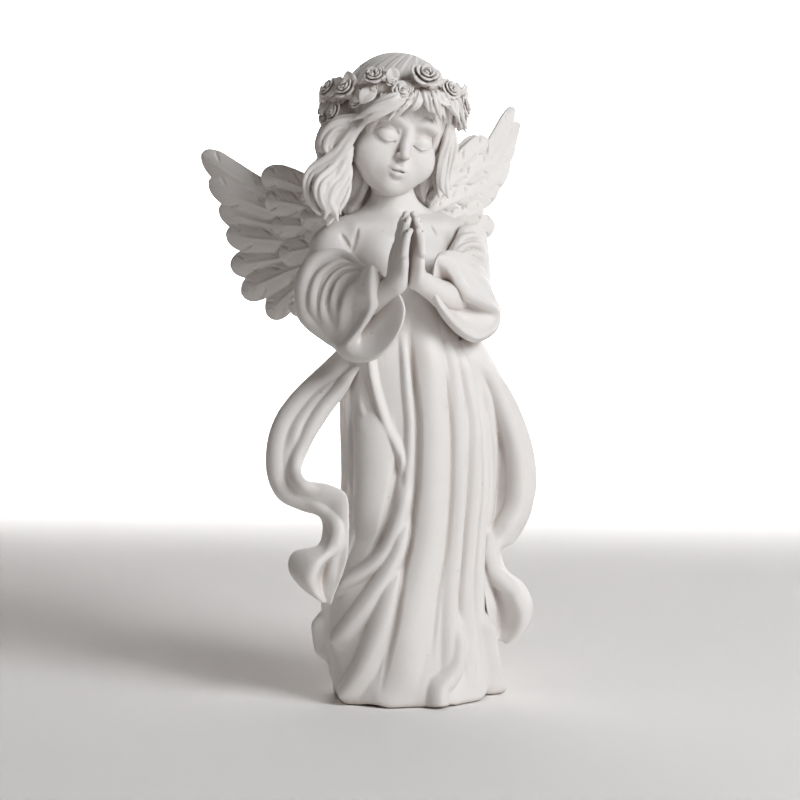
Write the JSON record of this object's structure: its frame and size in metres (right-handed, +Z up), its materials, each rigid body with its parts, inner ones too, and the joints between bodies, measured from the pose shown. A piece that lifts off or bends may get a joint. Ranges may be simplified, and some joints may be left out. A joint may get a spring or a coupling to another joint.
{
  "type": "praying angel figurine",
  "caption": "Standing praying angel figurine in white cast resin, with feathered wings, a rose wreath, bell sleeves and a long flowing gown and mantle.",
  "frame": {"origin": "centre of the figure on the underside of the felt pad, which is the surface the figurine stands on", "axes": "+Z up to the crown of the head, -Y the way the figure faces, +X to the figure's left"},
  "size_m": [0.1576, 0.1215, 0.2996],
  "materials": {
    "resin": "cast polyresin under satin-matte white paint, with a thin warm grey wash in the creases",
    "steel": "plain steel pin, hidden in the bond lines",
    "felt": "pale felt, glued under the plug"
  },
  "bodies": {
    "root": {"gown_shell": "resin", "felt_pad": "felt", "base_plug": "resin", "head": "resin", "wreath_band": "resin", "rose_01": "resin", "rose_02": "resin", "rose_03": "resin", "rose_04": "resin", "rose_05": "resin", "rose_06": "resin", "rose_07": "resin", "rose_08": "resin", "rose_09": "resin", "rose_10": "resin", "rose_11": "resin", "rose_12": "resin", "right_hand": "resin", "left_hand": "resin", "right_sleeve": "resin", "left_sleeve": "resin", "right_mantle": "resin", "left_mantle": "resin", "right_wing": "resin", "left_wing": "resin", "neck_dowel": "steel", "right_wing_dowel_upper": "steel", "right_wing_dowel_lower": "steel", "left_wing_dowel_upper": "steel", "left_wing_dowel_lower": "steel"}
  },
  "joints": []
}
